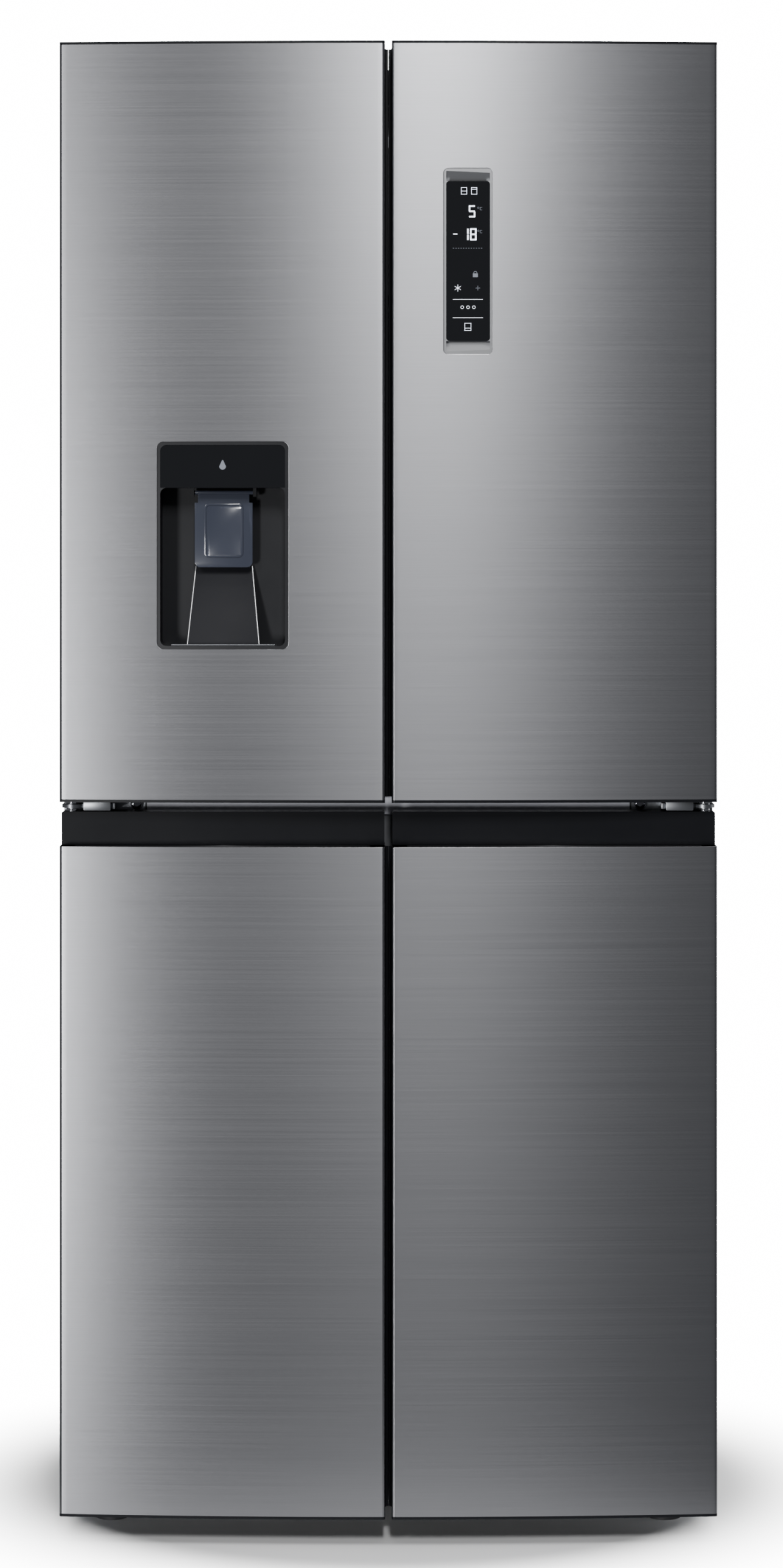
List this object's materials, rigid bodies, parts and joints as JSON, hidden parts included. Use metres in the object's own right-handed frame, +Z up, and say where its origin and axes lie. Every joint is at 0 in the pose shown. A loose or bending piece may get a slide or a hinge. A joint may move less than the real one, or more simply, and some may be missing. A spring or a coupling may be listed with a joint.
{
  "type": "french door refrigerator",
  "caption": "Tall refrigerator with two upper doors, two freezer doors, a gently bowed dark steel front, a water dispenser and a touch display.",
  "frame": {"origin": "centre of the bounding box's bottom, on the floor", "axes": "+Z up, the doors face -Y, +X to the right seen from the front"},
  "size_m": [0.79, 0.7, 1.8],
  "materials": {
    "inox_front": "satin",
    "cabinet_paint": "satin",
    "galvanised": "satin",
    "foam": "matte",
    "white_liner": "satin",
    "black_trim": "satin",
    "gasket_grey": "matte",
    "clear_plastic": "gloss",
    "tank_lid_white": "satin",
    "shelf_glass": "gloss",
    "hinge_steel": "satin",
    "dark_chrome": "polished",
    "satin_silver": "satin",
    "gloss_black": "gloss",
    "smoky_paddle": "gloss",
    "spout_grey": "satin",
    "compressor_black": "satin",
    "fan_plastic": "matte",
    "foot_plastic": "matte"
  },
  "bodies": {
    "cabinet": {"air_duct_cover": "white_liner", "base_plate": "galvanised", "bottom_hinges": "hinge_steel", "cabinet_insulation": "foam", "cabinet_shell": "cabinet_paint", "cooling_unit": "compressor_black", "freezer_liners": "white_liner", "fridge_liner": "white_liner", "front_beams": "cabinet_paint", "glass_shelves": "shelf_glass", "hinge_covers": "black_trim", "hinge_screws": "dark_chrome", "machine_cover": "galvanised", "middle_hinges": "hinge_steel", "power_inlet": "spout_grey", "rear_panel": "galvanised", "top_hinges": "hinge_steel"},
    "upper_left_door": {"upper_left_skin": "inox_front", "upper_left_insulation": "foam", "upper_left_liner": "white_liner", "upper_left_end_caps": "black_trim", "upper_left_gasket": "gasket_grey", "upper_left_bins": "clear_plastic", "dispenser_housing": "satin_silver", "dispenser_panel": "gloss_black", "dispenser_spout": "spout_grey", "water_tank": "clear_plastic"},
    "upper_right_door": {"upper_right_skin": "inox_front", "upper_right_insulation": "foam", "upper_right_liner": "white_liner", "upper_right_end_caps": "black_trim", "upper_right_gasket": "gasket_grey", "upper_right_bins": "clear_plastic", "display_frame": "satin_silver", "display_glass": "gloss_black"},
    "lower_left_door": {"lower_left_skin": "inox_front", "lower_left_insulation": "foam", "lower_left_liner": "white_liner", "lower_left_end_caps": "black_trim", "lower_left_gasket": "gasket_grey"},
    "lower_right_door": {"lower_right_skin": "inox_front", "lower_right_insulation": "foam", "lower_right_liner": "white_liner", "lower_right_end_caps": "black_trim", "lower_right_gasket": "gasket_grey"},
    "flip_mullion": {"flip_mullion": "black_trim"},
    "dispenser_paddle": {"dispenser_paddle": "smoky_paddle"},
    "tank_lid": {"tank_lid": "tank_lid_white"},
    "condenser_fan": {"condenser_fan": "fan_plastic"},
    "rear_rollers": {"rear_rollers": "foot_plastic"},
    "crisper_left": {"crisper_left": "clear_plastic"},
    "front_foot_left": {"front_foot_left": "foot_plastic"},
    "freezer_drawer_left_top": {"freezer_drawer_left_top": "clear_plastic"},
    "freezer_drawer_left_middle": {"freezer_drawer_left_middle": "clear_plastic"},
    "freezer_drawer_left_bottom": {"freezer_drawer_left_bottom": "clear_plastic"},
    "crisper_right": {"crisper_right": "clear_plastic"},
    "front_foot_right": {"front_foot_right": "foot_plastic"},
    "freezer_drawer_right_top": {"freezer_drawer_right_top": "clear_plastic"},
    "freezer_drawer_right_middle": {"freezer_drawer_right_middle": "clear_plastic"},
    "freezer_drawer_right_bottom": {"freezer_drawer_right_bottom": "clear_plastic"}
  },
  "joints": [
    {"name": "upper_left_door_hinge", "type": "hinge", "parent": "cabinet", "child": "upper_left_door", "pos_m": [-0.382, -0.3, 0.9], "axis": [0, 0, -1], "range_deg": [0, 120]},
    {"name": "upper_right_door_hinge", "type": "hinge", "parent": "cabinet", "child": "upper_right_door", "pos_m": [0.382, -0.3, 0.9], "axis": [0, 0, 1], "range_deg": [0, 120]},
    {"name": "lower_left_door_hinge", "type": "hinge", "parent": "cabinet", "child": "lower_left_door", "pos_m": [-0.382, -0.3, 0.45], "axis": [0, 0, -1], "range_deg": [0, 120]},
    {"name": "lower_right_door_hinge", "type": "hinge", "parent": "cabinet", "child": "lower_right_door", "pos_m": [0.382, -0.3, 0.45], "axis": [0, 0, 1], "range_deg": [0, 120]},
    {"name": "flip_mullion_hinge", "type": "hinge", "parent": "upper_left_door", "child": "flip_mullion", "pos_m": [-0.034, -0.249, 1.3], "axis": [0, 0, 1], "range_deg": [-90, 0]},
    {"name": "paddle_hinge", "type": "hinge", "parent": "upper_left_door", "child": "dispenser_paddle", "pos_m": [-0.1985, -0.312, 1.2595], "axis": [1, 0, 0], "range_deg": [0, 10], "stiffness_Nm_per_rad": 0.4},
    {"name": "tank_lid_hinge", "type": "hinge", "parent": "upper_left_door", "child": "tank_lid", "pos_m": [-0.199, -0.2425, 1.4845], "axis": [1, 0, 0], "range_deg": [0, 85]},
    {"name": "crisper_left_slide", "type": "slide", "parent": "cabinet", "child": "crisper_left", "axis": [0, -1, 0], "range_m": [0, 0.12]},
    {"name": "freezer_left_top_slide", "type": "slide", "parent": "cabinet", "child": "freezer_drawer_left_top", "axis": [0, -1, 0], "range_m": [0, 0.12]},
    {"name": "freezer_left_middle_slide", "type": "slide", "parent": "cabinet", "child": "freezer_drawer_left_middle", "axis": [0, -1, 0], "range_m": [0, 0.09]},
    {"name": "freezer_left_bottom_slide", "type": "slide", "parent": "cabinet", "child": "freezer_drawer_left_bottom", "axis": [0, -1, 0], "range_m": [0, 0.06]},
    {"name": "front_foot_left_turn", "type": "hinge", "parent": "cabinet", "child": "front_foot_left", "pos_m": [-0.34, -0.2, 0.02], "axis": [0, 0, 1], "continuous": true},
    {"name": "crisper_right_slide", "type": "slide", "parent": "cabinet", "child": "crisper_right", "axis": [0, -1, 0], "range_m": [0, 0.12]},
    {"name": "freezer_right_top_slide", "type": "slide", "parent": "cabinet", "child": "freezer_drawer_right_top", "axis": [0, -1, 0], "range_m": [0, 0.12]},
    {"name": "freezer_right_middle_slide", "type": "slide", "parent": "cabinet", "child": "freezer_drawer_right_middle", "axis": [0, -1, 0], "range_m": [0, 0.09]},
    {"name": "freezer_right_bottom_slide", "type": "slide", "parent": "cabinet", "child": "freezer_drawer_right_bottom", "axis": [0, -1, 0], "range_m": [0, 0.06]},
    {"name": "front_foot_right_turn", "type": "hinge", "parent": "cabinet", "child": "front_foot_right", "pos_m": [0.34, -0.2, 0.02], "axis": [0, 0, 1], "continuous": true},
    {"name": "rear_roller_spin", "type": "hinge", "parent": "cabinet", "child": "rear_rollers", "pos_m": [0, 0.29, 0.015], "axis": [1, 0, 0], "continuous": true},
    {"name": "condenser_fan_spin", "type": "hinge", "parent": "cabinet", "child": "condenser_fan", "pos_m": [0.02, 0.24, 0.145], "axis": [1, 0, 0], "continuous": true}
  ],
  "couplings": [
    {"joint": "crisper_left_slide", "follows": "upper_left_door_hinge", "m_per_rad": 0.0572},
    {"joint": "freezer_left_top_slide", "follows": "lower_left_door_hinge", "m_per_rad": 0.0572},
    {"joint": "freezer_left_middle_slide", "follows": "lower_left_door_hinge", "m_per_rad": 0.0429},
    {"joint": "freezer_left_bottom_slide", "follows": "lower_left_door_hinge", "m_per_rad": 0.0286},
    {"joint": "crisper_right_slide", "follows": "upper_right_door_hinge", "m_per_rad": 0.0572},
    {"joint": "freezer_right_top_slide", "follows": "lower_right_door_hinge", "m_per_rad": 0.0572},
    {"joint": "freezer_right_middle_slide", "follows": "lower_right_door_hinge", "m_per_rad": 0.0429},
    {"joint": "freezer_right_bottom_slide", "follows": "lower_right_door_hinge", "m_per_rad": 0.0286}
  ]
}
